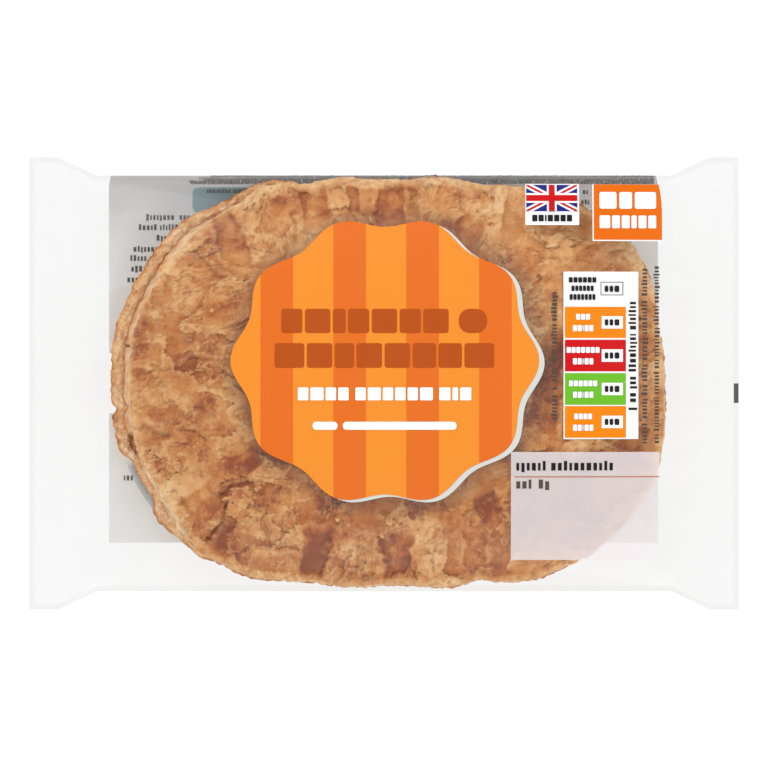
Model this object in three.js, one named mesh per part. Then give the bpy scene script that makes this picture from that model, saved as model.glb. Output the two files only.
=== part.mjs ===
// A puff pastry pie sealed in a clear flow-wrap pack, lying on its back with the label side up.
//
// Units are millimetres and +Z is up. +X runs along the pack from one end seal to the other, +Y runs
// across it towards the top of the label, and the origin is the centre of the flat face it rests on.
//
// A flow wrap is one tube of film, drawn tight over the pie and sealed flat at both ends. The pack's
// shape is the outside of that tube: a flat base, a rim line where the film turns over the crimped edge
// of the crust, a crown over the lid, and at each end a throat that closes onto a flat seal wider than
// the body. The film and what it holds are one closed solid.

import * as THREE from "three";

// Driving dimensions
const PACK_LENGTH = 160; // from the edge of one end seal to the edge of the other
const SEAL_WIDTH = 102; // the flattened tube, which is half its girth
const BODY_WIDTH = 93.8; // the tube drawn round the pie
const PACK_HEIGHT = 28; // from the base to the crown
const RIM_HEIGHT = 10.5; // the level of the crust's crimped edge, and of both end seals
const SEAL_DEPTH = 6.6; // how far an end seal runs along the pack
const EAR_LENGTH = 8.6; // where the tube widens from the body to a seal
const SEAL_THICKNESS = 0.8; // two layers of crimped film

// How the film lies between the pie and the seals
const CROWN_HALF_LENGTH = 33; // the crown is level this far from the middle
const BASE_HALF_LENGTH = 44; // the base keeps its full depth this far from the middle
const CROWN_FALL = 1.55; // power of the fall from the crown to a seal
const BASE_RISE = 1.6; // power of the rise from the base to a seal
const CROWN_FULLNESS = 2.1; // superellipse power of the section above the rim
const BASE_FULLNESS = 2.8; // superellipse power of the section below the rim
const SEAL_FULLNESS = 14; // superellipse power of a seal, which is nearly a rectangle
const SEAL_ONSET = 6; // how late in the throat the section takes on the seal's fullness
const BASE_PRESS = 1.1; // the section below the rim is this much too deep, and its foot is pressed flat

// Mesh density
const SECTION_SIDES = 72;
const CROWN_STATIONS = 4; // from the middle to the crown's end
const THROAT_STATIONS = 18; // from the crown's end to a seal

const PACK_END = PACK_LENGTH / 2;
const SEAL_START = PACK_END - SEAL_DEPTH;
const EAR_START = SEAL_START - EAR_LENGTH;

const { clamp, lerp } = THREE.MathUtils;

/** Half the tube's width at a distance from the middle of the pack. */
function halfWidth(distance) {
  const ear = clamp((distance - EAR_START) / EAR_LENGTH, 0, 1);
  return lerp(BODY_WIDTH / 2, SEAL_WIDTH / 2, ear);
}

/** How open the tube is: 1 over the level stretch, and 0 from where the end seal starts. */
function openness(distance, levelHalfLength, power) {
  const share = clamp((distance - levelHalfLength) / (SEAL_START - levelHalfLength), 0, 1);
  return 1 - share ** power;
}

/** One coordinate of a superellipse: a sine or cosine raised to 2 / fullness, with its sign kept. */
function superSide(value, fullness) {
  return Math.sign(value) * Math.abs(value) ** (2 / fullness);
}

/** The point on the section at x. Side 0 is the rim at +Y, and a quarter of the sides on is the crown. */
function sectionPoint(x, side) {
  const distance = Math.abs(x);
  const angle = (2 * Math.PI * side) / SECTION_SIDES;
  const aboveRim = side < SECTION_SIDES / 2;
  const open = aboveRim
    ? openness(distance, CROWN_HALF_LENGTH, CROWN_FALL)
    : openness(distance, BASE_HALF_LENGTH, BASE_RISE);
  const fullReach = aboveRim ? PACK_HEIGHT - RIM_HEIGHT : RIM_HEIGHT * BASE_PRESS;
  const reach = Math.max(fullReach * open, SEAL_THICKNESS / 2);
  const bodyFullness = aboveRim ? CROWN_FULLNESS : BASE_FULLNESS;
  const fullness = lerp(bodyFullness, SEAL_FULLNESS, (1 - open) ** SEAL_ONSET);
  const y = halfWidth(distance) * superSide(Math.cos(angle), fullness);
  const z = RIM_HEIGHT + reach * superSide(Math.sin(angle), fullness);
  return new THREE.Vector3(x, y, Math.max(z, 0));
}

/** Where the sections stand along X, in order from one end seal's edge to the other's. */
function stations() {
  const crown = Array.from({ length: CROWN_STATIONS }, (_, i) => (i * CROWN_HALF_LENGTH) / CROWN_STATIONS);
  const throat = Array.from({ length: THROAT_STATIONS + 1 }, (_, i) =>
    lerp(CROWN_HALF_LENGTH, SEAL_START, i / THROAT_STATIONS),
  );
  const right = [...crown, ...throat, PACK_END];
  const left = right.slice(1).reverse().map((distance) => -distance);
  return [...left, ...right];
}

/** A capped cylinder whose rows of vertices are moved onto the pack's sections, one row to a station. */
function packGeometry() {
  const along = stations();
  const rows = along.length - 1;
  const geometry = new THREE.CylinderGeometry(1, 1, rows, SECTION_SIDES, rows);
  const position = geometry.getAttribute("position");
  const point = new THREE.Vector3();
  for (let i = 0; i < position.count; i++) {
    point.fromBufferAttribute(position, i);
    const x = along[Math.round(point.y + rows / 2)];
    const turn = Math.atan2(point.x, point.z) / (2 * Math.PI);
    const side = (Math.round(turn * SECTION_SIDES) + SECTION_SIDES) % SECTION_SIDES;
    const capCentre = Math.hypot(point.x, point.z) < 0.5;
    const placed = capCentre ? new THREE.Vector3(x, 0, RIM_HEIGHT) : sectionPoint(x, side);
    position.setXYZ(i, placed.x, placed.y, placed.z);
  }
  geometry.computeVertexNormals();
  return geometry;
}

const film = new THREE.MeshStandardMaterial({ color: 0xe9e9e6, roughness: 0.25, metalness: 0 });

const pack = new THREE.Mesh(packGeometry(), film);
pack.name = "flow_wrap_pack";

const packedPie = new THREE.Group();
packedPie.add(pack);

export default packedPie;
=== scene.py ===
import math

import bpy
import numpy as np
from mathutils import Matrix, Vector


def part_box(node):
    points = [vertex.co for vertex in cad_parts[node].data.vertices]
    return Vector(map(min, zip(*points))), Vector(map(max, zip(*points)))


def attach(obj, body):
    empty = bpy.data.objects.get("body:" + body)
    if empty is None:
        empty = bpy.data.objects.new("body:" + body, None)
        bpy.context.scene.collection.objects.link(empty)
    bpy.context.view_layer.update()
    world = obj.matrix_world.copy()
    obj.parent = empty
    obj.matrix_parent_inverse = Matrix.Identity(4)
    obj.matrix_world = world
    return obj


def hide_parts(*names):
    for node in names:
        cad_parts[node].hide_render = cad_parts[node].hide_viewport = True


# A puff pastry pie sealed in a clear printed flow wrap, lying on its back with the label side up.
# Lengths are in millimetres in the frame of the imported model, and turn into metres in add_mesh.
# Directions round the pie are in degrees, counted from +X towards +Y.

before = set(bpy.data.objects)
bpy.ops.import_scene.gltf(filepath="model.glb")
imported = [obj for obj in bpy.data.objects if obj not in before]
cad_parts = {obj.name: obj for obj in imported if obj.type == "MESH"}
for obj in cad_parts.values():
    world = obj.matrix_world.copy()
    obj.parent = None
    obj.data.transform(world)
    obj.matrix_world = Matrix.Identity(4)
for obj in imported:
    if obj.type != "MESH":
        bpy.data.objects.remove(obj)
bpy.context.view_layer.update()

MM = 0.001
TURN = 2 * math.pi
pack_low, pack_high = (np.array(corner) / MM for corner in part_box("flow_wrap_pack"))

# ---- The film's own shape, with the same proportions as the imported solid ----
PACK_END = pack_high[0]
SEAL_HALF = pack_high[1]
PACK_HEIGHT = pack_high[2]
BODY_HALF = SEAL_HALF * 46.9 / 51
RIM_HEIGHT = PACK_HEIGHT * 0.375
SEAL_DEPTH = 6.6
EAR_LENGTH = 8.6
SEAL_START = PACK_END - SEAL_DEPTH
EAR_START = SEAL_START - EAR_LENGTH
# Each side of the film stays level this far from the middle, then closes to the seal by this power. The
# fullness is the power of its section, and BASE_PRESS is how far the weight of the pie flattens the back.
CROWN_LEVEL, CROWN_FALL, CROWN_FULLNESS = 33, 1.55, 2.1
BASE_LEVEL, BASE_RISE, BASE_FULLNESS, BASE_PRESS = 44, 1.6, 2.8, 1.1
SEAL_FULLNESS, SEAL_ONSET, SEAL_GAP = 14, 6, 0.12
FIN_GAP = 0.2  # the folded back seal lies under the film
THROAT_START, THROAT_END, THROAT_SINK, FOLD_RISE, FOLD_SIZE = 46, 64, 0.4, 0.55, 7


def smooth(low, high, value):
    t = np.clip((value - low) / (high - low), 0, 1)
    return t * t * (3 - 2 * t)


def fall(low, high, value):
    return 1 - smooth(low, high, value)


def lerp(a, b, t):
    return a + (b - a) * t


class Noise:
    """Seeded gradient noise over a plane, from about -1 to 1."""

    def __init__(self, seed):
        rng = np.random.default_rng(seed)
        self.order = rng.permutation(256)
        turn = rng.uniform(0, TURN, 256)
        self.slope = np.cos(turn), np.sin(turn)

    def plain(self, x, y):
        xi, yi = np.floor(x).astype(int), np.floor(y).astype(int)
        xf, yf = x - xi, y - yi
        u, v = (t * t * t * (t * (6 * t - 15) + 10) for t in (xf, yf))

        def corner(dx, dy):
            pick = self.order[(self.order[(xi + dx) & 255] + yi + dy) & 255]
            return self.slope[0][pick] * (xf - dx) + self.slope[1][pick] * (yf - dy)

        near = lerp(corner(0, 0), corner(1, 0), u)
        far = lerp(corner(0, 1), corner(1, 1), u)
        return lerp(near, far, v) * 1.5

    def __call__(self, x, y, size, octaves, gain=0.5):
        """Layered noise whose largest features are about size across."""
        total, weight, reach = 0, 1, 0
        for octave in range(octaves):
            scale = 2**octave / size
            total = total + weight * self.plain(x * scale + 17.3 * octave, y * scale - 9.1 * octave)
            reach += weight
            weight *= gain
        return total / reach * 1.4


def half_width(x):
    ear = np.clip((abs(x) - EAR_START) / EAR_LENGTH, 0, 1)
    return lerp(BODY_HALF, SEAL_HALF, ear)


fold_noise = Noise(11)


def film_height(x, y, side):
    """Height of the film over (x, y): side 1 is the label side and side -1 is the back."""
    distance = abs(x)
    level, power = (CROWN_LEVEL, CROWN_FALL) if side > 0 else (BASE_LEVEL, BASE_RISE)
    share = np.clip((distance - level) / (SEAL_START - level), 0, 1)
    opened = 1 - share**power
    full = PACK_HEIGHT - RIM_HEIGHT if side > 0 else RIM_HEIGHT * BASE_PRESS
    body = CROWN_FULLNESS if side > 0 else BASE_FULLNESS
    fullness = lerp(body, SEAL_FULLNESS, (1 - opened) ** SEAL_ONSET)
    across = np.clip(abs(y) / half_width(x), 0, 1)
    rise = np.maximum(full * opened, SEAL_GAP) * (1 - across**fullness) ** (1 / fullness)
    # Tension folds run out of each throat towards the pie, and fade on it and at the seal.
    throat = smooth(THROAT_START, THROAT_END, distance) * fall(SEAL_START - 5, SEAL_START, distance)
    folds = fold_noise(y + 0.25 * distance * np.tanh(y / 6), x * 0.12 + 40 * side, FOLD_SIZE, 2)
    rise = rise + FOLD_RISE * throat * folds * (1 - across**6) - THROAT_SINK * throat * (1 - across**6)
    return np.clip(RIM_HEIGHT + side * rise, FIN_GAP, PACK_HEIGHT)


# ---- Meshes ----
def in_scene(name, data):
    thing = bpy.data.objects.new(name, data)
    bpy.context.scene.collection.objects.link(thing)
    return thing


def add_mesh(name, points, faces, material, fields, shade_smooth=True):
    """A mesh object from points in mm. Its fields are named values at its points."""
    mesh = bpy.data.meshes.new(name)
    faces = faces.tolist() if isinstance(faces, np.ndarray) else faces
    mesh.from_pydata((np.asarray(points, float) * MM).tolist(), [], faces)
    mesh.validate()
    for key, values in fields.items():
        layer = mesh.attributes.new(key, "FLOAT", "POINT")
        layer.data.foreach_set("value", np.ascontiguousarray(values, dtype=np.float32).ravel())
    if shade_smooth:
        mesh.shade_smooth()
    mesh.materials.append(material)
    return in_scene(name, mesh)


def root_piece(name, made, material):
    """A piece made of points, faces and values at its points, which rides on the pack's one body."""
    points, faces, fields = made
    piece = add_mesh(name, points, faces, material, fields)
    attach(piece, "root")
    return piece


def stacked(x, y, z):
    """One row of x, y, z for each point."""
    return np.stack([x.ravel(), y.ravel(), z.ravel()], axis=1)


def grid_faces(rows, columns, wrap=False):
    """Quads over a grid of rows x columns points, closed round its columns if wrap."""
    index = np.arange(rows * columns).reshape(rows, columns)
    if wrap:
        index = np.concatenate([index, index[:, :1]], axis=1)
    quads = np.stack([index[:-1, :-1], index[1:, :-1], index[1:, 1:], index[:-1, 1:]], axis=-1)
    return quads.reshape(-1, 4)


# ---- Node materials ----
class Nodes:
    """A material's node tree, with short ways to add to it."""

    def __init__(self, name):
        self.material = bpy.data.materials.new(name)
        self.material.use_nodes = True
        self.tree = self.material.node_tree
        self.tree.nodes.clear()
        self.output = self.tree.nodes.new("ShaderNodeOutputMaterial")

    def put(self, socket, value):
        if isinstance(value, bpy.types.NodeSocket):
            self.tree.links.new(value, socket)
        else:
            socket.default_value = value

    def add(self, kind, settings=None, out=0, **inputs):
        """An output of a new node. Inputs are named, with _ for a space, or given as i and their number."""
        node = self.tree.nodes.new("ShaderNode" + kind)
        for key, value in (settings or {}).items():
            setattr(node, key, value)
        for key, value in inputs.items():
            self.put(node.inputs[int(key[1:]) if key[1:].isdigit() else key.replace("_", " ")], value)
        return node.outputs[out]

    def math(self, operation, a, b=0.0, c=0.0):
        return self.add("Math", {"operation": operation}, i0=a, i1=b, i2=c)

    def span(self, value, low, high):
        return self.add("MapRange", {"interpolation_type": "SMOOTHSTEP"}, Value=value, From_Min=low,
                        From_Max=high)

    def spot(self):
        return self.add("TexCoord", out="Object")

    def noise(self, size, detail, roughness=0.55, stretch=(1, 1, 1), seed=0):
        """Noise whose largest features are about size mm across."""
        moved = self.add("Mapping", Vector=self.spot(), Scale=stretch,
                         Location=(seed, seed * 0.7, seed * 0.3))
        return self.add("TexNoise", out="Fac", Vector=moved, Scale=1 / (size * MM), Detail=detail,
                        Roughness=roughness)

    def mix(self, factor, a, b):
        return self.add("Mix", {"data_type": "RGBA"}, out=2, i0=factor, i6=a, i7=b)

    def ramp(self, value, stops):
        colour_out = self.add("ValToRGB", Fac=value)
        points = colour_out.node.color_ramp.elements
        while len(points) < len(stops):
            points.new(0.5)
        for point, (place, colour) in zip(points, stops):
            point.position = place
            point.color = srgb(colour)
        return colour_out

    def place(self, axis):
        """Each spot's x, y or z in metres."""
        return self.add("SeparateXYZ", out=axis, Vector=self.spot())

    def field(self, name):
        return self.add("Attribute", {"attribute_name": name}, out="Fac")

    def relief(self, height, strength, depth):
        """A bump depth mm deep."""
        return self.add("Bump", Strength=strength, Distance=depth * MM, Height=height)

    def coat(self, colour, roughness, gloss, **more):
        return self.add("BsdfPrincipled", Base_Color=colour, Roughness=roughness,
                        Specular_IOR_Level=gloss, **more)

    def over_clear(self, share, surface, tint=(1, 1, 1, 1)):
        """This share of a surface, over clear film of a faint tint."""
        return self.add("MixShader", i0=share, i1=self.add("BsdfTransparent", Color=tint), i2=surface)

    def finish(self, shader):
        self.tree.links.new(shader, self.output.inputs["Surface"])
        return self.material


def srgb(colour, strength=1.0):
    """Scene colour of an sRGB colour given from 0 to 255, times strength."""
    share = np.array(colour) / 255
    linear = np.where(share <= 0.04045, share / 12.92, ((share + 0.055) / 1.055) ** 2.4)
    return (*np.minimum(linear * strength, 0.97).tolist(), 1.0)


# ---- The pie ----
PIE_CENTRE = np.array([1.0, 0.3])
PIE_HALF = 62.6, 46.3
LID_RINGS, WALL_RINGS = 138, 12
LID_EDGE = RIM_HEIGHT + 1.5  # top of the lid's edge
LID_DOME, DOME_REACH, DOME_POWER = 15.6, 12.5, 1.35
FLANGE_TOP = RIM_HEIGHT - 0.6
CRUST_FOOT = 0.42  # the bottom crust's flat underside

# Crimps along the rim: the direction of each from the pie's centre and its width, and how far the rim
# stands out there.
SCALLOPS = (
    (12, 7, -1.2), (23, 5, -0.5), (48, 5, 0.5), (65, 5, -1), (76, 5, 0.4), (88, 6, -0.8), (102, 3, 0.3),
    (112, 3.5, -1), (122, 6, 1.6), (141, 4, 0.6), (159, 7, -0.8), (223, 4, 0.8), (234, 5, 1.2),
    (250, 4, -0.4), (271, 5, -0.5), (285, 4, 0.5), (294.5, 3.5, -1), (307, 6, 1), (330, 9, -1),
)

# Where the bottom crust's rim has broken away, and the notch above it: direction, width and depth.
BROKEN_RIM = 202, 8, 2.3
RIM_NOTCH = 185.6, 0.9, 1.1
# Where the lid is drawn back from that rim, and where the seam under its edge stands open.
LID_SHORT, LID_SHORTER = (168, 40, 4.0), (208, 10, 3.2)
OPEN_SEAM = 209, 14
SEAM_HOLLOWS = (193.6, 2.6), (172.1, 0.3)
CREAM_RIM, CREAM_BREAK, PALE_EDGE = (168, 45), (211, 9), (172, 14)

# Where the crust was pressed down: middle x, y, half length, half width, its direction, how deep it is,
# and how much darker it baked. The mark at 36.6, 0, right of the badge, is darkened instead with
# painted shadow of the badge.
PRESSED = (
    (-35, 33.6, 6.2, 2.9, 118, 1.5, 0.55), (-15.2, 39.5, 4.4, 3, 96, 1.3, 0.6),
    (-7.2, 41.2, 2.6, 1.4, 92, 0.8, 0.65), (1.6, 39.8, 4.8, 3.1, 88, 1.1, 0.5),
    (19.6, 35.4, 3.2, 2.6, 70, 0.8, 0.5), (29.4, 37.4, 4, 2.5, 78, 1, 0.5),
    (46.6, 27.6, 3.8, 2.8, 35, 0.9, 0.6), (56.5, 8, 3.6, 2.6, 10, 0.9, 0.4),
    (55, -12, 4, 2.8, -12, 1, 0.4), (46, -28, 4.6, 2.8, -40, 1.1, 0.4),
    (23.4, -28.2, 3.4, 2.6, -60, 0.8, 0.65), (20.4, -36.6, 4.6, 2.8, -84, 1.4, 0.5),
    (2.8, -38.6, 4.6, 3.2, -92, 1.4, 0.85), (-15.6, -38.2, 5.2, 3.1, -98, 1.7, 0.7),
    (-14.4, -33, 3, 3, -98, 0.5, 0.15), (-41.6, -27.6, 5.8, 3.7, 35, -0.5, 0.62),
    (-51.2, 21, 3.6, 2.4, 128, 0.5, 0.6), (-54.2, 12.6, 3, 1.6, 8, 0.5, 0.45),
    (-55.2, 8.6, 6.4, 1.5, 88, -0.1, 0.4), (-52.6, 19, 3, 1.6, 70, -0.1, 0.3),
    (-50.6, -6.6, 4.8, 1.6, 4, 0.5, 0.25), (-55, -8.2, 3, 2, 80, -0.1, -0.4),
    (-55, 1.8, 2.2, 1.2, 4, 0.4, 0.55), (-53.6, 7, 3.2, 1.5, 5, 0.4, 0.4),
    (-52, -12, 3.4, 1.5, -8, 0.8, 0.35), (-36.6, -34.2, 3.2, 1.8, 64, 0.8, 0.7),
    (-40, -4.4, 2.2, 1.9, 0, -0.4, 0.5), (-32, 16, 5, 3.4, 20, -0.5, 0.25),
    # The second mark on this line, right of the badge, is darkened with painted shadow of the badge.
    (-24, -16, 4, 2.2, -35, 0.5, 0.5), (36.6, 0, 11, 3, 84, 0.4, 0.6),
    (-31, -17.5, 5, 2.6, 35, 0.4, 0.6),
)

# Cracks: both ends, width and depth.
CRACKS = (
    (5.9, 44, 7.2, 36.6, 0.5, 1.1), (17.7, 43.4, 17.2, 38, 0.4, 0.8),
    (24, 43.6, 24.6, 40.2, 0.4, 0.8), (11.5, 34, 16.4, 30.4, 0.4, 0.7),
    (-34.6, -26.6, -39.2, -36, 0.42, 0.7), (-36.8, 12, -22, 15.5, 0.35, 0.5),
    (-46, -10.6, -38.6, -12.8, 0.5, 0.9), (-38.6, -24.6, -27, -22, 0.45, 0.55),
    (-57, -9.4, -48.4, -11.2, 0.4, 0.9), (-56, 1.8, -36, 6.2, 0.3, 0.4),
    (-26.6, -32.6, -25.4, -40.2, 0.35, 0.7), (-21, 39, -19.6, 31, 0.45, 0.8),
    (-43.5, 30.4, -36.2, 22.8, 0.45, 0.8), (31.5, 33.5, 36.4, 30.2, 0.4, 0.7),
    (36.5, -35, 33.5, -29.8, 0.4, 0.7), (10.8, -42, 11.6, -35.6, 0.4, 0.8),
    (-6.4, -41.8, -5.6, -36.4, 0.35, 0.6),
)

# Stretches where the lid's edge is torn and pale: direction, width and reach.
FRAYED = (
    (209, 13, 2.6), (123, 6, 3.4), (95, 6, 2.4), (74, 7, 2), (27, 8, 3.2), (288, 7, 2.2), (238, 12, 2),
)

# Layers of torn sheets over the crust: size of a sheet, how many steps they make, how ragged their tears
# are, how thick a sheet is, and a seed.
SHEETS = (17, 2.6, 0.16, 0.75, 4), (8, 2.2, 0.2, 0.42, 9), (3.6, 1.7, 0.24, 0.22, 15)
SHEET_BASE = 40  # keeps the step numbers above 0

edge_noise = Noise(3)
crust_noise = Noise(5)
sheet_noise = Noise(8)
bake_noise = Noise(21)


def oval(turn):
    """Distance from the pie's centre to its rim. The ends on the right are squarer than on the left."""
    power = 2.72 + 0.28 * np.cos(turn) - 0.04 * np.sin(turn)
    reach = (abs(np.cos(turn)) / PIE_HALF[0]) ** power + (abs(np.sin(turn)) / PIE_HALF[1]) ** power
    return reach ** (-1 / power)


def peak(distance, width):
    """A smooth hump over a distance of 0, which is all but gone twice its width away."""
    return np.exp(-((distance / width) ** 2))


def bump(turn, middle, width):
    """A smooth hump round one direction."""
    return peak((np.degrees(turn) - middle + 180) % 360 - 180, width)


def round_pie(radius, turn):
    """Places at these distances and directions from the pie's centre."""
    return PIE_CENTRE[0] + radius * np.cos(turn), PIE_CENTRE[1] + radius * np.sin(turn)


def ragged(turn, size, seed):
    """Unevenness along the rim whose pieces are about size mm long."""
    x, y = 58 * np.cos(turn), 58 * np.sin(turn)
    return edge_noise(x + seed * 31, y, size, 3)


def scallops(turn):
    """How far the crimped rim stands out of the plain oval."""
    return sum(stand * bump(turn, middle, width) for middle, width, stand in SCALLOPS)


def base_rim(turn):
    """The bottom crust's rim, with the stretch at the lower left where it has broken away."""
    broken = BROKEN_RIM[2] * smooth(0.35, 0.8, bump(turn, *BROKEN_RIM[:2]))
    notch = RIM_NOTCH[2] * bump(turn, *RIM_NOTCH[:2])
    uneven = 0.22 * ragged(turn, 6, 1) + 0.3 * ragged(turn, 1.4, 2)
    return oval(turn) + scallops(turn) + uneven - broken - notch


def lid_rim(turn):
    """The lid's edge, drawn back from the bottom crust's rim along the left side."""
    back = LID_SHORT[2] * smooth(0.1, 0.8, bump(turn, *LID_SHORT[:2]))
    back = back + LID_SHORTER[2] * bump(turn, *LID_SHORTER[:2])
    uneven = 0.4 * ragged(turn, 7, 3) + 0.3 * ragged(turn, 2.0, 4)
    return oval(turn) + 0.8 * scallops(turn) - 0.45 - back + uneven


def torn_sheets(x, y, size, steps, rag, seed):
    """Overlapping torn sheets: their step number, and the distance above and below the nearest tear."""

    def field(px, py):
        wander = rag * sheet_noise(px + seed, py - seed, 1.5, 3, 0.7)
        heap = sheet_noise(px * 0.8 + 7 * seed, py + 3 * seed, size, 3, 0.45)
        return steps * heap + wander + SHEET_BASE

    here = field(x, y)
    near = 0.15
    slope = np.hypot(field(x + near, y) - here, field(x, y + near) - here) / near + 0.02
    number = np.floor(here)
    return number, (here - number) / slope, (number + 1 - here) / slope


def along_across(x, y, direction):
    """The same offsets, taken along a direction in radians and across it."""
    c, s = math.cos(direction), math.sin(direction)
    return x * c + y * s, -x * s + y * c


class Crust:
    """The lid's top at points inset mm from its edge: its relief, how baked and torn it is, and the shade
    painted into its crevices.
    """

    def __init__(self, x, y, inset):
        self.x, self.y, self.inset = x, y, inset
        self.wx = x + 1.5 * crust_noise(x, y, 5.5, 4)
        self.wy = y + 1.5 * crust_noise(x + 90, y - 40, 5.5, 4)
        self.flaky = smooth(-0.35, 0.45, crust_noise(x - 60, y + 20, 13, 2))
        self.relief = 0.9 * crust_noise(x, y, 22, 2) + 0.45 * crust_noise(x + 50, y, 8, 3)
        self.baked = 0.52 + 0.25 * bake_noise(x, y, 15, 3)
        self.baked += 0.18 * bake_noise(x + 33, y, 5, 3)
        # Painted shade at the front and painted light at the back, most of all at its right, added to how
        # baked it is.
        self.baked += 0.06 * smooth(10, 35, -y)
        self.baked -= 0.08 * smooth(10, 35, y)
        self.baked -= 0.12 * smooth(20, 40, x) * smooth(5, 25, y)
        self.torn = np.zeros_like(x)
        self.crevice_shade = np.zeros_like(x)
        self.pressed = np.zeros_like(x)
        for mark in PRESSED:
            self.press(*mark)
        self.calm = 1 - 0.6 * self.pressed
        for sheet in SHEETS:
            self.tear(*sheet)
        for crack in CRACKS:
            self.crack(*crack)
        self.roughen()
        self.fray()

    # The second value is painted shade: dark in cracks, pits and hollows, along pressed edges and under torn
    # layers.
    def mark(self, torn, crevice_shade):
        self.torn = np.maximum(self.torn, torn)
        self.crevice_shade = np.maximum(self.crevice_shade, crevice_shade)

    def press(self, middle_x, middle_y, long_half, wide_half, direction, depth, browning_and_shade):
        """A mark pressed into the crust, with a raised and torn lip beside it."""
        along, across = along_across(self.wx - middle_x, self.wy - middle_y, math.radians(direction))
        along, across = along / long_half, across / wide_half
        across = across * (1 + 0.12 * along)
        along, across = abs(along), abs(across)
        inside = fall(0.86, 1.04, across) * fall(0.62, 1.3, along)
        beside = peak((across - 1.2) * wide_half, 0.6) * fall(0.7, 1.3, along)
        edge = peak((across - 1.0) * wide_half, 0.3) * fall(0.6, 1.1, along)
        patchy = smooth(-0.5, 0.4, sheet_noise(self.x, self.y, 4, 2))
        self.relief -= depth * inside
        self.relief += 0.4 * beside * (depth > 0)
        uneven = 0.8 + 0.9 * bake_noise(self.x, self.y, 3.4, 4, 0.6)
        # Darker inside: baked for most marks, painted shadow of the badge for the one right of it.
        self.baked += browning_and_shade * 0.5 * inside * uneven
        self.mark(0.6 * beside * patchy, 0.7 * edge * patchy * (depth > 0))
        self.pressed = np.maximum(self.pressed, inside)

    def tear(self, size, steps, rag, rise, seed):
        """One layer of torn sheets, raised along their tears and hollow under them."""
        number, above, below = torn_sheets(self.wx, self.wy, size, steps, rag, seed)
        patches = sheet_noise(self.x + 13 * seed, self.y, 9, 2)
        shown = self.calm * smooth(-0.25, 0.35, patches + 0.35 * self.flaky)
        step = (number - SHEET_BASE) * 0.5 + 0.55 * np.exp(-above / 0.6) - 0.38 * np.exp(-below / 0.45)
        self.relief += shown * rise * step
        large = size > 5
        self.mark(shown * np.exp(-above / 0.38) * (0.6 + 0.4 * large),
                  shown * np.exp(-below / 0.34) * (0.55 + 0.35 * large))
        self.baked += 0.10 * shown * np.where(number % 2 > 0, 1, -1)

    def crack(self, x0, y0, x1, y1, width, depth):
        """A crack, with one side raised."""
        length = math.hypot(x1 - x0, y1 - y0)
        along, across = along_across(self.wx - x0, self.wy - y0, math.atan2(y1 - y0, x1 - x0))
        cut = peak(across, width) * smooth(-1, 1, along) * fall(length - 1, length + 1, along)
        side = peak(across - 0.9, 0.6) * smooth(0, 2, along) * fall(length - 2, length, along)
        self.relief -= depth * cut
        self.relief += 0.3 * side
        self.mark(side * 0.45, cut * 0.95)

    def roughen(self):
        """Fine fibres and small pits."""
        fibre = 1 - abs(crust_noise(self.wx * 1.5, self.wy, 1.7, 3, 0.6))
        pits = smooth(0.62, 0.8, crust_noise(self.x + 210, self.y + 80, 1.6, 1))
        self.relief += 0.28 * self.calm * (fibre - 0.7) * (0.5 + 0.5 * self.flaky)
        self.relief -= 0.35 * pits * self.calm
        # Painted shade in the pits.
        self.crevice_shade = np.maximum(self.crevice_shade, 0.5 * pits * self.calm)
        self.baked += 0.12 * (fibre - 0.7)
        self.baked += 0.1 - 0.14 * self.flaky

    def fray(self):
        """The crimped edge, which is paler and more broken, most of all at the lower left."""
        turn = np.arctan2(self.y - PIE_CENTRE[1], self.x - PIE_CENTRE[0])
        frayed = np.max([bump(turn, middle, width) * fall(0.6 * reach, reach, self.inset)
                         for middle, width, reach in FRAYED], axis=0)
        fine = sheet_noise(self.x, self.y, 1.3, 3)
        gaps = sheet_noise(self.x + 70, self.y, 1.1, 2)
        # Paler along the edge, with painted shade in the gaps of the frayed stretches.
        self.mark(0.55 * np.exp(-self.inset / 1.3), 0.9 * frayed * smooth(0.25, 0.6, gaps))
        self.torn = np.maximum(self.torn, 1.3 * frayed * smooth(-0.3, 0.2, fine))
        rough = peak(self.inset, 3.5) + 0.5 * frayed
        self.relief += 0.3 * rough * sheet_noise(self.x - 31, self.y, 0.9, 2)
        self.relief *= smooth(-0.5, 2.5, self.inset)
        patches = smooth(-0.6, 0.2, sheet_noise(self.x + 12, self.y, 3.5, 3))
        golden = fall(0.6, 1.7, self.inset) * patches * (1 - 0.8 * bump(turn, *PALE_EDGE))
        self.baked -= 0.3 * np.maximum(golden, frayed)

    def height(self):
        return LID_EDGE + LID_DOME * (1 - np.exp(-((self.inset / DOME_REACH) ** DOME_POWER))) + self.relief


def concentric(rings):
    """Ring number and direction of the points of a square grid wound into rings."""
    i, j = np.meshgrid(np.arange(-rings, rings + 1), np.arange(-rings, rings + 1), indexing="ij")
    ring = np.maximum(abs(i), abs(j))
    flat = abs(i) >= abs(j)
    with np.errstate(divide="ignore", invalid="ignore"):
        side_turn = math.pi / 4 * np.nan_to_num(j / i) + np.where(i < 0, math.pi, 0)
        end_turn = math.pi / 2 - math.pi / 4 * np.nan_to_num(i / j) + np.where(j < 0, math.pi, 0)
    return ring, np.where(flat, side_turn, end_turn)


def pastry_fields(baked, torn, crevice_shade, cut):
    return {"baked": baked, "torn": torn, "crevice_shade": crevice_shade, "cut": cut}


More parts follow.
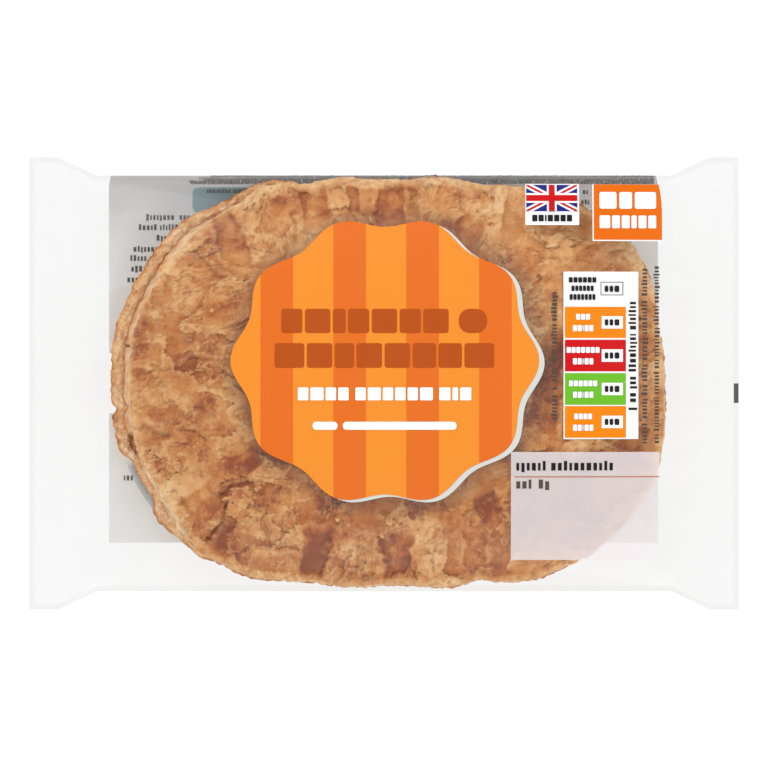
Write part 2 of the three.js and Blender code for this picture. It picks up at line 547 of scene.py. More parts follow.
def lid():
    """The lid: its baked top, then its cut edge down to the bottom crust."""
    ring, turn = concentric(LID_RINGS + WALL_RINGS)
    ring, turn = ring.ravel(), turn.ravel()
    rim = lid_rim(turn)
    radius = rim * np.clip(ring / LID_RINGS, 0, 1)
    x, y = round_pie(radius, turn)
    crust = Crust(x, y, rim - radius)
    # The cut edge: layered, leaning out to the rim of the bottom crust.
    down = np.clip((ring - LID_RINGS) / WALL_RINGS, 0, 1)
    open_seam = bump(turn, *OPEN_SEAM)
    lean = np.clip(base_rim(turn) - rim - 2.7 + 2.4 * open_seam, 0.2, 2.6)
    layers = (0.28 + 0.3 * open_seam) * edge_noise(x * 0.35, y * 0.35 + down * 30, 1.6, 2)
    outward = down**0.8 * lean + layers * (down > 0) * (down < 1)
    x = x + outward * np.cos(turn)
    y = y + outward * np.sin(turn)
    z = crust.height() - down * (LID_EDGE - FLANGE_TOP + 1.4)
    z = np.minimum(z, film_height(x, y, 1) - 0.3)
    wall = smooth(0, 0.15, down)
    crumbs = edge_noise(x, y + down * 9, 1.2, 2)
    bands = edge_noise(x * 0.3, y * 0.3 + down * 22, 1.5, 2)
    patches = edge_noise(x + 40, y, 4, 3)
    torn = lerp(crust.torn, 0.85 + 0.25 * crumbs, wall)
    baked = lerp(crust.baked, 0.25 + 0.5 * smooth(0.1, 0.6, bands), wall)
    # Painted shade at the foot of the cut edge, where it meets the bottom crust.
    crevice_shade = lerp(crust.crevice_shade, 0.35 * smooth(0.8, 1.0, down), wall)
    cut = wall * fall(0.9, 1.0, down) * smooth(-0.45, 0.05, patches + open_seam)
    # Hollows in the seam, sunk and darkened with painted shade.
    for middle, width in SEAM_HOLLOWS:
        hollow = smooth(0.2, 0.7, bump(turn, middle, width)) * smooth(0.05, 0.2, down) * fall(0.9, 1, down)
        crevice_shade = np.maximum(crevice_shade, 2.2 * hollow)
        cut = cut * (1 - hollow)
        z = z - 0.8 * hollow
    side = 2 * (LID_RINGS + WALL_RINGS) + 1
    return stacked(x, y, z), grid_faces(side, side), pastry_fields(baked, torn, crevice_shade, cut)


def bottom_crust():
    """The bottom crust: a shallow case whose rim stands out round the lid."""
    around = 1200
    turn = np.linspace(0, TURN, around, endpoint=False)
    # Share of the rim's reach and height: from under the lid over the rim, down the side and to the middle.
    over = [(0.86, -1.6), (0.94, -1.5)]
    over += [(lerp(0.950, 0.991, t), 1.5 * math.sin(1.9 * t) - 1.1) for t in np.linspace(0, 1, 14)]
    over += [(0.997, -0.1), (1, -0.5), (0.999, -1), (0.994, -1.6), (0.98, -2.1), (0.965, -2.6)]
    profile = [(reach, FLANGE_TOP + rise) for reach, rise in over]
    profile += [(lerp(0.955, 0.87, t), lerp(FLANGE_TOP - 3.2, 0.95, t)) for t in np.linspace(0, 1, 9)]
    profile += [(0.855, 0.6), (0.83, 0.45), (0.6, CRUST_FOOT), (0.3, CRUST_FOOT), (0.02, CRUST_FOOT)]
    share, height = (np.array(column)[:, None] for column in zip(*profile))
    x, y = round_pie(base_rim(turn)[None, :] * share, turn)
    z = height + 0 * x
    exposed = smooth(0.94, 0.955, share) * smooth(2.0, 5.0, z)
    z = z + exposed * (0.6 * crust_noise(x, y, 2.6, 4, 0.6) + 0.5 * crust_noise(x, y, 0.9, 2))
    flutes = 0.25 * crust_noise(x, y + 2.2 * z, 2.4, 3) * smooth(0.8, 0.87, share)
    x, y = x + flutes * np.cos(turn), y + flutes * np.sin(turn)
    z = np.maximum(z, film_height(x, y, -1) + 0.25)
    outside = smooth(0.984, 0.995, share)
    baked = 0.30 + 0.6 * bake_noise(x, y + z, 4, 4, 0.6) + 0.4 * smooth(0.985, 1.0, share) + 0 * x
    torn = 0.9 * smooth(-0.2, 0.3, crust_noise(x + 9, y + z, 1.4, 3)) * exposed
    torn = torn * (1 - 0.6 * outside)
    pits = smooth(0.2, 0.6, crust_noise(x, y + z, 1.1, 2)) * exposed
    # Painted shade in the seam under the lid and in small pits.
    crevice_shade = np.maximum(0.3 * fall(0.94, 0.955, share) * smooth(5, 7, z), 0.6 * pits)
    patches = smooth(-0.1, 0.4, crust_noise(x + 40, y + z, 2.4, 3))
    inside = fall(0.975, 0.99, share) * bump(turn, *CREAM_RIM)
    cream = np.minimum(0.7 * patches + 0.6 * bump(turn, *CREAM_BREAK) + 0.45 * inside, 0.9)
    cream = cream * exposed * (1 - 0.8 * outside)
    faces = grid_faces(len(profile), around, wrap=True).tolist()
    last = (len(profile) - 1) * around
    faces.append(list(range(last, last + around)))
    return stacked(x, y, z), faces, pastry_fields(baked, torn, crevice_shade, cream)


def flakes(count):
    """Loose flakes of pastry lying on the lid: thin, bent, torn-edged scraps up to 3 mm long."""
    rng = np.random.default_rng(44)
    corners, rings = 11, 3
    points, faces = [], []
    while len(points) < count:
        turn, share = rng.uniform(0, TURN), rng.uniform(0.45, 0.985)
        size = rng.uniform(0.4, 1.0) * rng.uniform(0.5, 1.0) * 1.6
        rim = float(lid_rim(np.array([turn]))[0])
        spot = PIE_CENTRE + rim * share * np.array([math.cos(turn), math.sin(turn)])
        ring = np.linspace(0.05, 1, rings)[:, None]
        angle = np.linspace(0, TURN, corners, endpoint=False) + rng.uniform(0, 6)
        outline = size * (0.75 + 0.35 * rng.uniform(-1, 1, corners)) * ring
        turned, narrow = rng.uniform(0, math.pi), rng.uniform(0.4, 0.8)
        along, across = outline * np.cos(angle), outline * np.sin(angle) * narrow
        dx, dy = along_across(along, across, -turned)
        x, y = spot[0] + dx, spot[1] + dy
        curl = rng.uniform(0.1, 0.4) * (across / narrow / size) ** 2 * size
        base = Crust(x, y, np.maximum(rim * (1 - share) + 0 * x, 0)).height()
        z = np.minimum(lerp(base, base.mean(), 0.6) + 0.1 + curl, film_height(x, y, 1) - 0.12)
        faces.append(grid_faces(rings, corners, wrap=True) + rings * corners * len(points))
        points.append(stacked(x, y, z))
    baked = np.repeat(rng.uniform(0.25, 0.9, count), rings * corners)
    torn, plain = np.full(baked.size, 0.15), np.zeros(baked.size)
    return np.concatenate(points), np.concatenate(faces), pastry_fields(baked, torn, plain, plain)


def pastry(name):
    """Baked puff pastry: its colour follows how baked or torn each spot is, and darkens with the shade
    painted into its crevices.
    """
    n = Nodes(name)
    mottle = n.noise(2.2, 5, 0.62)
    speckle = n.noise(0.6, 4, 0.7, seed=3)
    fine = n.noise(0.3, 3, 0.7, seed=23)
    streak = n.noise(1.2, 4, 0.6, stretch=(1, 0.35, 1), seed=7)
    baked = n.field("baked")
    for noise, strength in ((mottle, 0.38), (fine, 0.44), (streak, 0.30), (speckle, 0.42)):
        baked = n.math("MULTIPLY_ADD", n.math("SUBTRACT", noise, 0.5), strength, baked)
    colour = n.ramp(baked, ((0.0, (237, 191, 140)), (0.25, (226, 169, 112)), (0.5, (209, 143, 85)),
                            (0.72, (189, 114, 62)), (0.9, (163, 88, 50)), (1.0, (142, 74, 47))))
    frayed = n.math("MULTIPLY", n.field("torn"), n.span(n.noise(0.9, 3, 0.6, seed=11), 0.3, 0.62))
    colour = n.mix(n.math("MULTIPLY", frayed, 0.66), colour, srgb((243, 204, 152)))
    layers = n.noise(0.7, 3, 0.6, stretch=(0.3, 0.3, 3), seed=29)
    cream = n.mix(n.span(layers, 0.42, 0.62), srgb((240, 209, 172)), srgb((216, 168, 120)))
    colour = n.mix(n.field("cut"), colour, cream)
    # Painted shade: darker brown in crevices, cracks, pits and hollows.
    dark = n.math("MULTIPLY", n.field("crevice_shade"), n.span(n.noise(0.8, 3, 0.6, seed=17), 0.25, 0.6))
    colour = n.mix(n.math("MULTIPLY", dark, 0.5), colour, srgb((132, 76, 46)))
    grain = n.math("ADD", n.math("MULTIPLY", streak, 0.6), n.math("MULTIPLY", speckle, 0.5))
    relief = n.relief(grain, 0.55, 0.22)
    roughness = n.math("MULTIPLY_ADD", mottle, 0.25, 0.52)
    return n.finish(n.coat(colour, roughness, 0.22, Normal=relief))


pastry_material = pastry("baked_pastry")
root_piece("pie_lid", lid(), pastry_material)
root_piece("pie_bottom_crust", bottom_crust(), pastry_material)
root_piece("pastry_flakes", flakes(90), pastry_material)


# ---- The film ----
SEAL_EDGE = 1.8, 1.2, 0.7, 0.3, 0.0  # the last loops of points before the pack's end
# The line round the outline is painted shade: the film lets less through near its outline.
RIM_LINE = 0.7, 1.7  # the darker line round the film's outline fades between these distances from it
CRIMP_PITCH = 1.6
FILM_WHITE = 250, 251, 252


def film_sheet():
    """The flow wrap as one closed tube: label side, back, and the flat seals at its ends."""
    body = np.linspace(0, EAR_START - 8, 30)
    throat = np.linspace(EAR_START - 8, SEAL_START, 40)[1:]
    seal = np.linspace(SEAL_START, PACK_END - SEAL_EDGE[0], 5)[1:]
    right = np.concatenate([body, throat, seal, PACK_END - np.array(SEAL_EDGE[1:])])
    along = np.concatenate([-right[:0:-1], right])
    sides = 150
    spread = np.sin(np.linspace(-math.pi / 2, math.pi / 2, sides))
    x = np.repeat(along[:, None], sides, axis=1)
    y = half_width(x) * spread[None, :]
    rim = fall(*RIM_LINE, np.minimum(PACK_END - abs(x), half_width(x) - abs(y)))
    # The label side runs from one side to the other, and the back returns.
    x, y, z, rim = (np.concatenate([front, back[:, ::-1]], axis=1) for front, back in (
        (x, x), (y, y), (film_height(x, y, 1), film_height(x, y, -1)), (rim, rim)))
    return stacked(x, y, z), grid_faces(len(along), 2 * sides, wrap=True), {"rim": rim}


def clear_film(name):
    """Thin clear film: see-through face on, glossier along its turned edges, with crimped seals."""
    n = Nodes(name)
    past = n.span(n.math("ABSOLUTE", n.place("X")), SEAL_START * MM, (SEAL_START + 0.6) * MM)
    rib = n.math("SINE", n.math("MULTIPLY", n.place("Y"), TURN / (CRIMP_PITCH * MM)))
    crimp = n.math("MULTIPLY", n.math("MULTIPLY", rib, 0.22), past)
    crease = n.math("ABSOLUTE", n.math("SUBTRACT", n.noise(16, 3, 0.5, stretch=(0.5, 1, 1)), 0.5))
    ripple = n.math("ADD", n.math("MULTIPLY", crease, 2.4), crimp)
    gloss = n.add("BsdfGlossy", Color=srgb(FILM_WHITE), Roughness=0.13, Normal=n.relief(ripple, 0.5, 0.5))
    # Painted shade along the film's outline: less is let through within about 2 mm of it.
    tint = n.mix(n.field("rim"), (0.940, 0.941, 0.940, 1), (0.914, 0.919, 0.915, 1))
    turned = n.add("LayerWeight", out="Facing", Blend=0.35)
    share = n.math("MULTIPLY_ADD", n.math("POWER", turned, 3.0), 0.5, 0.011)
    return n.finish(n.over_clear(share, gloss, tint))


def seal_film(name):
    """The folded seal's film, which hardly shows on the film it lies on."""
    n = Nodes(name)
    turned = n.add("LayerWeight", out="Facing", Blend=0.35)
    share = n.math("MULTIPLY_ADD", turned, 0.05, 0.004)
    gloss = n.add("BsdfGlossy", Color=srgb(FILM_WHITE), Roughness=0.15)
    return n.finish(n.over_clear(share, gloss, (0.994, 0.994, 0.994, 1)))


film_piece = root_piece("clear_film", film_sheet(), clear_film("clear_film"))
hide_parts("flow_wrap_pack")

# ---- Shapes for the print ----
PRINT_LIFT = 0.06  # one layer of print over another
PRINT_STEP = 0.8  # longest side of the small quads that follow the film


def columns(start, end, low, high, rows, radius=0.0, step=PRINT_STEP):
    """A patch from start to end along x, between low and high, which are numbers or functions of x. Its
    corners can be rounded."""
    spans = max(2, math.ceil((end - start) / step))
    places = np.linspace(start, end, spans + 1)
    if radius:
        ends = radius * (1 - np.cos(np.linspace(0, math.pi / 2, 6)))
        inner = places[(places > start + radius) & (places < end - radius)]
        places = np.concatenate([start + ends, inner, (end - ends)[::-1]])
    near = np.minimum(places - start, end - places)
    cut = radius - np.sqrt(np.maximum(radius**2 - np.maximum(radius - near, 0) ** 2, 0))
    bottom = (low(places) if callable(low) else low) + cut
    top = (high(places) if callable(high) else high) - cut
    share = np.linspace(0, 1, rows)[None, :]
    x = np.repeat(places[:, None], rows, axis=1)
    return x, lerp(bottom[:, None], top[:, None], share), grid_faces(len(places), rows)


def box(left, low, right, high, radius=0.0):
    """A rectangle, fine enough to follow the film."""
    rows = max(2, math.ceil((high - low) / PRINT_STEP) + 1)
    return columns(left, right, low, high, rows, radius)


def bowed(left, low, right, high):
    """A rectangle whose right edge draws in towards its top, where the film turns away."""
    x, y, faces = box(left, low, right, high)
    up = np.clip((y - low) / (high - low) - 0.45, 0, 1)
    return x - 2.4 * (x - left) / (right - left) * up**2, y, faces


def pinched(left, low, right, high, pinch):
    """A rectangle whose top corners draw in by pinch, where the film folds."""
    x, y, faces = box(left, low, right, high)
    middle, half = (left + right) / 2, (right - left) / 2
    turned = smooth(high - 2.5, high + 0.2, y) * pinch
    return middle + (x - middle) * (1 - turned / half), y, faces


def blocks(left, low, right, high, widths, gap, radius=0.3):
    """A row of blocks of these relative widths, which stands for one word."""
    unit = (right - left - gap * (len(widths) - 1)) / sum(widths)
    made = []
    for width in widths:
        made.append(box(left, low, left + width * unit, high, radius))
        left += width * unit + gap
    return made


def small_word(left, right, line, size, rng):
    """One word of small print on a line, as letter-sized blocks of which some stand taller or lower."""
    made = []
    while left < right - 0.2 * size:
        width = min(rng.uniform(0.3, 0.62) * size, right - left)
        top = line + size * (0.75 if rng.random() < 0.2 else 0.5)
        foot = line - size * (0.7 if rng.random() < 0.08 else 0.5)
        made.append((left, foot, left + width, top))
        left += width + 0.3 * size
    return made


def small_line(left, right, line, size, lengths, rng):
    """A line of small print whose words have these relative lengths."""
    space = 0.75 * size
    unit = (right - left - space * (len(lengths) - 1)) / sum(lengths)
    made = []
    for length in lengths:
        made += small_word(left, left + length * unit, line, size, rng)
        left += length * unit + space
    return made


def paragraph(left, low, right, high, size, pitch, seed):
    """Lines of small print between two heights, with an uneven edge on the left."""
    rng = np.random.default_rng(seed)
    made = []
    for line in np.arange(high, low, -pitch):
        place = left + rng.uniform(0, 7)
        while place < right - 1:
            word = min(rng.uniform(1.6, 8.5), right - place)
            made += small_word(place, place + word, line, size, rng)
            place += word + 0.8 * size
    return made


def lying(letters):
    """Letter-sized blocks on a line that runs along the pack."""
    return [box(*letter) for letter in letters]


def upright(letters):
    """The same blocks on a line that runs up the pack, with their tops to the left."""
    return [box(-top, left, -foot, right) for left, foot, right, top in letters]


def printed(name, shapes, material, layer, side=1, inward=False):
    """Flat shapes laid on one side of the film, this many print layers out from it, or in from it."""
    points, faces, count = [], [], 0
    for x, y, quads in shapes:
        z = film_height(x, y, side) + PRINT_LIFT * layer * (-1 if inward else 1) * side
        points.append(stacked(x, y, z))
        faces.append(quads + count)
        count += x.size
    quads = np.concatenate(faces)
    if (side > 0) == inward:
        quads = quads[:, ::-1]
    return root_piece(name, (np.concatenate(points), quads, {}), material)


# ---- Inks ----
INK_GLOSS, INK_SPREAD = 0.15, 0.03


def ink(name, colour, roughness=0.35):
    """Printed ink: one colour with a faint unevenness, under the film's own gloss."""
    n = Nodes(name)
    shade = n.mix(n.noise(3, 3), srgb(colour, 1 - INK_SPREAD), srgb(colour, 1 + INK_SPREAD))
    grain = n.relief(n.noise(0.4, 2), 0.15, 0.02)
    return n.finish(n.coat(shade, roughness, INK_GLOSS, Normal=grain))


STRIPE_START, STRIPE_PITCH, STRIPE_SHARE, STRIPE_SHADE = -27.69, 16.35, 0.448, 0.84


def striped_ink(name):
    """The badge's two oranges, in even upright stripes."""
    n = Nodes(name)
    stripes = n.math("DIVIDE", n.math("ADD", n.place("X"), -STRIPE_START * MM), STRIPE_PITCH * MM)
    dark = n.math("LESS_THAN", n.math("WRAP", stripes, 1.0, 0.0), STRIPE_SHARE)
    uneven = n.noise(6, 2)
    light = n.mix(uneven, srgb((255, 151, 46), STRIPE_SHADE), srgb((255, 154, 51), STRIPE_SHADE))
    deep = n.mix(uneven, srgb((240, 116, 33), STRIPE_SHADE), srgb((241, 119, 38), STRIPE_SHADE))
    grain = n.relief(n.noise(0.4, 2), 0.1, 0.02)
    return n.finish(n.coat(n.mix(dark, light, deep), 0.4, INK_GLOSS, Normal=grain))


def thin_tint(n, colour):
    return n.mix(n.noise(4, 2), srgb(colour), srgb(colour, 1.05))


def misted_ink(name, colour, cover, edge_shade=1.0):
    """Ink so thin that what lies under it shows through. It darkens by edge_shade to the pack's far side,
    as painted shade where the film turns up there.
    """
    n = Nodes(name)
    tint = thin_tint(n, colour)
    # Painted shade: darker towards the far side, where the film turns up the side of the pack.
    if edge_shade < 1:
        rise = n.math("POWER", n.span(n.place("Y"), 10 * MM, 46.8 * MM), 3.0)
        tint = n.mix(rise, tint, srgb(colour, edge_shade))
    return n.finish(n.over_clear(cover, n.coat(tint, 0.45, INK_GLOSS)))


def faded_painted_shade(name, colour, cover):
    """A thin painted shade on the film, whose cover fades out with the piece's own fade."""
    n = Nodes(name)
    share = n.math("MULTIPLY", n.field("fade"), cover)
    return n.finish(n.over_clear(share, n.coat(thin_tint(n, colour), 0.6, 0.1)))


white_ink = ink("white_ink", (250, 250, 250))
black_ink = ink("black_ink", (28, 26, 27))
title_ink = ink("title_ink", (180, 78, 18))
red_ink = ink("red_ink", (203, 8, 14))
amber_ink = ink("amber_ink", (240, 132, 0))
green_ink = ink("green_ink", (106, 186, 38))
orange_ink = ink("orange_ink", (228, 106, 0))
blue_ink = ink("blue_ink", (26, 36, 128))
small_ink = ink("small_print_ink", (84, 72, 66))

# ---- The badge ----
BADGE_CENTRE = 0.2, 5.1
BADGE_RADIUS, BADGE_WAVE, BADGE_LOBES, BADGE_FLATTEN = 33.3, 1.33, 10, 0.94
BADGE_STEPS, BADGE_RINGS, SHADE_RINGS = 240, 26, 18
SHADE_REACH, SHADE_TUCK = 6.5, 4.0
badge_turn = np.linspace(0, TURN, BADGE_STEPS, endpoint=False)


def round_badge(radius, shift_x, shift_y):
    """Places round the badge's centre, moved by the shift."""
    x = BADGE_CENTRE[0] + shift_x + radius * np.cos(badge_turn)
    return x, BADGE_CENTRE[1] + shift_y + BADGE_FLATTEN * radius * np.sin(badge_turn)


def badge(shift_x=0.0, shift_y=0.0):
    """The wavy round badge, as rings of points from its middle to its outline."""
    share = np.linspace(0.004, 1, BADGE_RINGS)[:, None]
    outline = BADGE_RADIUS + BADGE_WAVE * np.cos(BADGE_LOBES * badge_turn)
    x, y = round_badge(outline * share, shift_x, shift_y)
    return x, y, grid_faces(BADGE_RINGS, BADGE_STEPS, wrap=True)[:, ::-1]


def badge_painted_shadow():
    """A painted soft shadow of the badge, on the film round it and moved to the lower right, which fades out
    and loses its waves over its reach.
    """
    past = np.linspace(-SHADE_TUCK, SHADE_REACH, SHADE_RINGS)[:, None]
    left = fall(0, SHADE_REACH, past)
    x, y = round_badge(BADGE_RADIUS + BADGE_WAVE * np.cos(BADGE_LOBES * badge_turn) * left + past, 1.5, -0.6)
    z = film_height(x, y, 1) + 0.5 * PRINT_LIFT
    return stacked(x, y, z), grid_faces(SHADE_RINGS, BADGE_STEPS, wrap=True)[:, ::-1], {"fade": left + 0 * x}


# Painted shadow of the badge on the pastry under the film: a grey ring that fades out.
root_piece("badge_painted_shadow", badge_painted_shadow(), faded_painted_shade("badge_shadow_paint", (95, 90, 92), 0.25))
printed("badge_underlay", [badge(1.2, -0.5)], ink("underlay_ink", (209, 212, 206)), 1)
printed("badge", [badge()], striped_ink("striped_ink"), 2)
printed("badge_title", blocks(-23.0, 11.3, 14.5, 16.7, (5, 6, 3, 5, 6, 5, 6), 0.6, 0.6)
        + blocks(16.8, 11.3, 23.1, 16.7, (1,), 0, 2.4)
        + blocks(-24.5, 3.5, 24.7, 9.0, (7, 6, 4.5, 6, 6, 5.5, 5.5, 7), 0.6, 0.6), title_ink, 3)
printed("badge_subtitle", blocks(-19.3, -3.8, -7.9, -0.9, (4, 5, 4, 4), 0.45)
        + blocks(-6.4, -3.8, 11.0, -0.9, (4, 5, 4, 4, 4, 5), 0.45)
        + blocks(12.4, -3.8, 19.6, -0.9, (4, 2, 4), 0.45)
        + [box(-16.0, -10.4, -10.4, -8.6, 0.8), box(-9.2, -10.4, 16.3, -8.6, 0.8)], white_ink, 3)

# ---- The flag ----
FLAG_LEFT, FLAG_LOW, FLAG_RIGHT, FLAG_HIGH = FLAG = 32.0, 38.7, 43.5, 44.7


def diagonal(rising, half):
    """A band from corner to corner of the flag, half its height along y."""

    def middle(x):
        share = (x - FLAG_LEFT) / (FLAG_RIGHT - FLAG_LEFT)
        return FLAG_LOW + (FLAG_HIGH - FLAG_LOW) * (share if rising else 1 - share)

    return columns(FLAG_LEFT, FLAG_RIGHT, lambda x: np.maximum(middle(x) - half, FLAG_LOW),
                   lambda x: np.minimum(middle(x) + half, FLAG_HIGH), 3, step=0.5)


def saltire(half):
    return [diagonal(True, half), diagonal(False, half)]


def cross(half):
    middle_x, middle_y = (FLAG_LEFT + FLAG_RIGHT) / 2, (FLAG_LOW + FLAG_HIGH) / 2
    return [box(middle_x - half, FLAG_LOW, middle_x + half, FLAG_HIGH),
            box(FLAG_LEFT, middle_y - half, FLAG_RIGHT, middle_y + half)]


printed("flag_patch", [box(31.8, 35.6, 43.9, 44.9)], white_ink, 1)
printed("flag_field", [box(*FLAG)], blue_ink, 2)
printed("flag_saltire_white", saltire(0.75), white_ink, 3)
printed("flag_saltire_red", saltire(0.26), red_ink, 4)
printed("flag_cross_white", cross(1.1), white_ink, 5)
printed("flag_cross_red", cross(0.68), red_ink, 6)
printed("flag_word", blocks(33.3, 36.4, 42.3, 37.9, (3, 3, 1, 3, 3, 3, 3), 0.25, 0.2), black_ink, 2)

# ---- The offer square ----
printed("offer_border", [bowed(46.9, 32.0, 62.6, 44.8)], white_ink, 1)
printed("offer_square", [bowed(47.2, 32.3, 62.62, 44.8)], orange_ink, 2)
printed("offer_words", blocks(48.5, 39.3, 61.3, 43.1, (4, 3, 5), 0.6, 0.5)
        + blocks(48.5, 34.9, 61.3, 37.8, (4, 3, 3, 2, 3, 3), 0.4), white_ink, 3)

# ---- The nutrition panel ----
# Its rows from the top: foot, top, ink, and half the length of the row's name.
ROWS = (
    (17.5, 25.0, None, None), (10.2, 17.2, amber_ink, 1.6), (2.7, 9.8, red_ink, 3.7),
    (-4.8, 2.3, green_ink, 3.2), (-12.2, -5.1, amber_ink, 2.0),
)
# The first row's three lines: foot and top from the row's middle, half length and number of blocks.
FIRST_LINES = (1.4, 2.6, 3.1, 6), (-0.5, 0.7, 2.5, 6), (-2.5, -1.2, 2.9, 7)
OUTLINE_WIDTH = 0.14


def outline(left, low, right, high):
    return [box(left, low, right, low + OUTLINE_WIDTH), box(left, high - OUTLINE_WIDTH, right, high),
            box(left, low, left + OUTLINE_WIDTH, high), box(right - OUTLINE_WIDTH, low, right, high)]


printed("nutrition_panel", [box(40.3, -12.5, 57.2, 25.1)], white_ink, 1)
middles, white_words, dark_words = [], [], []
for row, (low, high, colour, reach) in enumerate(ROWS):
    middle = (low + high) / 2
    middles.append(middle)
    if colour:
        printed(f"nutrition_field_{row}", [box(40.6, low, 54.4, high)], colour, 2)
        name_blocks = [3] * round(reach * 2)
        white_words += blocks(44.7 - reach, middle + 0.6, 44.7 + reach, middle + 1.9, name_blocks, 0.16, 0.2)
        white_words += blocks(42.4, middle - 2.0, 47.0, middle - 0.6, (3, 3, 1, 3, 3), 0.18, 0.2)
for foot, top, reach, count in FIRST_LINES:
    low, high = middles[0] + foot, middles[0] + top
    dark_words += blocks(44.6 - reach, low, 44.6 + reach, high, [3] * count, 0.2, 0.2)
for middle in middles:
    dark_words += blocks(49.6, middle - 0.7, 52.9, middle + 0.7, (3, 3, 4), 0.3, 0.3)
figure_boxes = [box(48.9, middle - 1.4, 53.7, middle + 1.4) for middle in middles[1:]]
printed("nutrition_boxes", figure_boxes, white_ink, 3)
printed("nutrition_words", white_words, white_ink, 4)
printed("nutrition_figures", dark_words, black_ink, 4)
printed("nutrition_outline", outline(48.7, 19.8, 53.8, 22.8), black_ink, 4)

# ---- The lines of print that run up the pack ----
# Each line: its start and end up the pack, its place to the left of the middle, its size, and the relative
# lengths of its words.
SIDE_LINE = -6.0, 18.5, -56.0, 1.35, (0.6, 1.6, 2.2, 6.6, 5.0)
SMALL_LINES = (
    (-8.2, 20.6, -38.3, 1.05, (4.0, 0.7, 2.2, 2.0, 3.4, 4.4)),
    (-13.5, 25.8, -58.7, 1.05, (4.0, 3.6, 2.0, 3.2, 4.2, 6.4, 5.0)),
    (-13.5, 26.5, -61.4, 1.0, (1.5, 5.4, 3.6, 1.4, 4.6, 3.0, 6.0)),
)
letter_rng = np.random.default_rng(60)
printed("side_text", upright(small_line(*SIDE_LINE, letter_rng)), black_ink, 2)
small_letters = [letter for line in SMALL_LINES for letter in small_line(*line, letter_rng)]
printed("small_print", upright(small_letters), small_ink, 2)

# ---- The panel for the date ----
misted_white = misted_ink("misted_white_ink", (229, 222, 224), 0.7)
printed("date_panel", [box(28.5, -39.7, 62.0, -15.4)], misted_white, 1)
printed("date_words", lying(small_line(29.7, 52.0, -18.7, 1.7, (1.0, 2.2), letter_rng)), black_ink, 2)
printed("date_small_word", lying(small_line(29.7, 37.5, -22.8, 1.6, (1.4, 1.0), letter_rng)), small_ink, 2)
printed("date_line", [box(29.3, -21.1, 62.0, -20.85)], ink("brown_ink", (188, 128, 100)), 2)

# ---- The register mark on the end seal, and the back seal, folded flat ----
printed("register_mark", [box(78.9, -4.4, 79.98, 0.0)], ink("mark_ink", (84, 84, 84)), 1)
printed("fin_seal", [box(-PACK_END, -5.2, PACK_END, 5.2)], seal_film("seal_film"), 2, side=-1)

# ---- The back's print, which shows through the film beside the pie ----
BACK_LEFT, BACK_RIGHT = -62.1, 61.9
BACK_SIZE, BACK_PITCH = 1.05, 2.35
# The lines that show at the upper left: start and height.
WORDS_LEFT = (
    (-53.7, 37.5), (-55.4, 35.2), (-51.4, 32.8), (-56.6, 30.3), (-57.3, 28.2), (-57.1, 25.8), (-58.0, 23.4),
)
# Single words elsewhere: start, end, height, size and relative lengths.
WORDS_APART = (
    (-58.8, -56.4, -21.4, 1.1, (1,)), (41.5, 46.4, 43.2, 0.9, (2, 1)), (42.2, 46.4, 40.9, 0.9, (1, 1)),
    (-40.0, -26.0, 43.4, 0.8, (2, 3)),
)
TURNED_LINES = 45.2, 45.58, 45.96, 46.34, 46.7  # pressed together where the film turns up at its far side

# The back's white ink, with painted shade towards the far side.
back_white = misted_ink("back_white_ink", (216, 217, 216), 0.66, 0.5)
back_blue = misted_ink("back_blue_ink", (142, 178, 192), 0.8)
back_text = ink("back_text_ink", (104, 104, 106), 0.5)
# Darker than the other back text: print pressed together where the film turns up at the far side, with
# painted shade there.
back_turned_shaded_text = ink("back_turned_shaded_ink", (44, 44, 46), 0.5)

back_rng = np.random.default_rng(31)
words = []
for left, line in WORDS_LEFT:
    words += small_line(left, left + 22, line, BACK_SIZE, back_rng.uniform(2, 6, 4), back_rng)
words += paragraph(-44.0, 9.0, 58.5, 21.0, BACK_SIZE, BACK_PITCH, 32)
words += paragraph(-46.0, -33.0, 46.0, -10.0, BACK_SIZE, BACK_PITCH, 33)
for word in WORDS_APART:
    words += small_line(*word, back_rng)
turned_words = []
for line in TURNED_LINES:
    start, lengths = -44.0 + back_rng.uniform(0, 6), back_rng.uniform(3, 9, 17)
    turned_words += small_line(start, 61.0, line, 0.4, lengths, back_rng)

upper_panel = pinched(BACK_LEFT, 6.9, BACK_RIGHT, 46.84, 0.5)
lower_panel = box(BACK_LEFT, -36.0, BACK_RIGHT, -6.7)
storage_box = box(-43.3, 38.6, 40.0, 44.3, 1.4)
printed("back_panel_upper", [upper_panel], back_white, 1, side=-1, inward=True)
printed("back_panel_lower", [lower_panel], back_white, 1, side=-1, inward=True)
printed("back_storage_box", [storage_box], back_blue, 2, side=-1, inward=True)
printed("back_words_inside", lying(words), back_text, 3, side=-1, inward=True)
printed("back_words_outside", lying(words), back_text, 1, side=-1)
printed("back_turned_words", lying(turned_words), back_turned_shaded_text, 3, side=-1, inward=True)

# ---- The shade beside the pie where the bottom crust's rim has broken away ----
GAP_FROM, GAP_TO, GAP_STEPS, GAP_RINGS = 196.5, 213, 60, 8


def rim_shade():
    turn = np.linspace(math.radians(GAP_FROM), math.radians(GAP_TO), GAP_STEPS)
    inner, outer = base_rim(turn) - 0.8, oval(turn) + scallops(turn) - 0.7
    share = np.linspace(0, 1, GAP_RINGS)[:, None]
    x, y = round_pie(lerp(inner, np.maximum(outer, inner + 0.05), share), turn)
    z = film_height(x, y, -1) + 5 * PRINT_LIFT
    along = np.linspace(0, 1, GAP_STEPS)
    fade = (1 - 0.55 * smooth(0.3, 1, share)) * smooth(0, 0.15, along) * fall(0.8, 1, along)
    return stacked(x, y, z), grid_faces(GAP_RINGS, GAP_STEPS)[:, ::-1], {"fade": fade}


root_piece("rim_shade", rim_shade(), faded_painted_shade("rim_shade_ink", (98, 106, 110), 0.5))

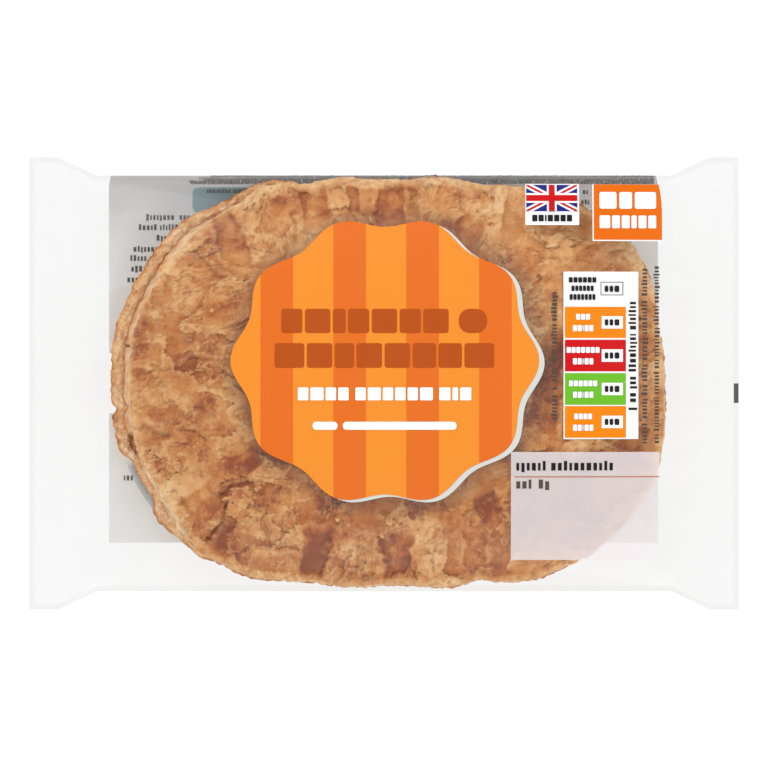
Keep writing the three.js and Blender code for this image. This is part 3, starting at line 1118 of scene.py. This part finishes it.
# ---- Floor, light and camera, in metres ----
FLOOR_HALF = 2500  # in mm, as every mesh
FLOOR_GLOW, SKY_STRENGTH = 0.90, 0.80
# Lamps: name, place, size and power.
LAMPS = (
    ("key", (-0.5, 1.0, 0.8), 0.8, 6.5),
    ("front", (0.3, -1.1, 0.8), 0.9, 5.0),
    ("side", (1.1, 0.3, 0.7), 0.8, 2.0),
)
CAMERA_X, CAMERA_Y, CAMERA_OVER, CAMERA_DISTANCE = 0.00002, -0.00014, 0.0105, 3.0
VIEW_WIDTH, SENSOR_WIDTH = 0.1732, 36


def lay_floor():
    n = Nodes("pale_floor")
    shade = n.mix(n.noise(60, 2), srgb((104, 104, 104)), srgb((102, 102, 102)))
    surface = n.add("BsdfPrincipled", Base_Color=shade, Roughness=0.8, Emission_Color=(1, 1, 1, 1),
                    Emission_Strength=FLOOR_GLOW)
    corners = [(x * FLOOR_HALF, y * FLOOR_HALF, 0) for x, y in ((-1, -1), (1, -1), (1, 1), (-1, 1))]
    floor = add_mesh("floor", corners, [[0, 1, 2, 3]], n.finish(surface), {}, shade_smooth=False)


def light_scene():
    world = bpy.data.worlds.new("studio")
    world.use_nodes = True
    sky = world.node_tree.nodes["Background"]
    sky.inputs["Color"].default_value = (1, 1, 1, 1)
    sky.inputs["Strength"].default_value = SKY_STRENGTH
    bpy.context.scene.world = world
    for name, place, size, power in LAMPS:
        lamp = bpy.data.lights.new(name, "AREA")
        lamp.size, lamp.energy = size, power
        light = in_scene(name, lamp)
        light.location = place
        light.visible_camera = False
        light.rotation_mode = "QUATERNION"
        light.rotation_quaternion = (-Vector(place)).to_track_quat("-Z", "Y")


def place_camera():
    """A long lens straight above the pack."""
    camera = in_scene("camera", bpy.data.cameras.new("camera"))
    camera.data.sensor_width = SENSOR_WIDTH
    camera.data.lens = SENSOR_WIDTH * CAMERA_DISTANCE / VIEW_WIDTH
    camera.data.clip_end = 20
    camera.location = (CAMERA_X, CAMERA_Y, CAMERA_DISTANCE + CAMERA_OVER)
    bpy.context.scene.camera = camera
    bpy.context.scene.view_settings.view_transform = "Standard"


lay_floor()
light_scene()
place_camera()
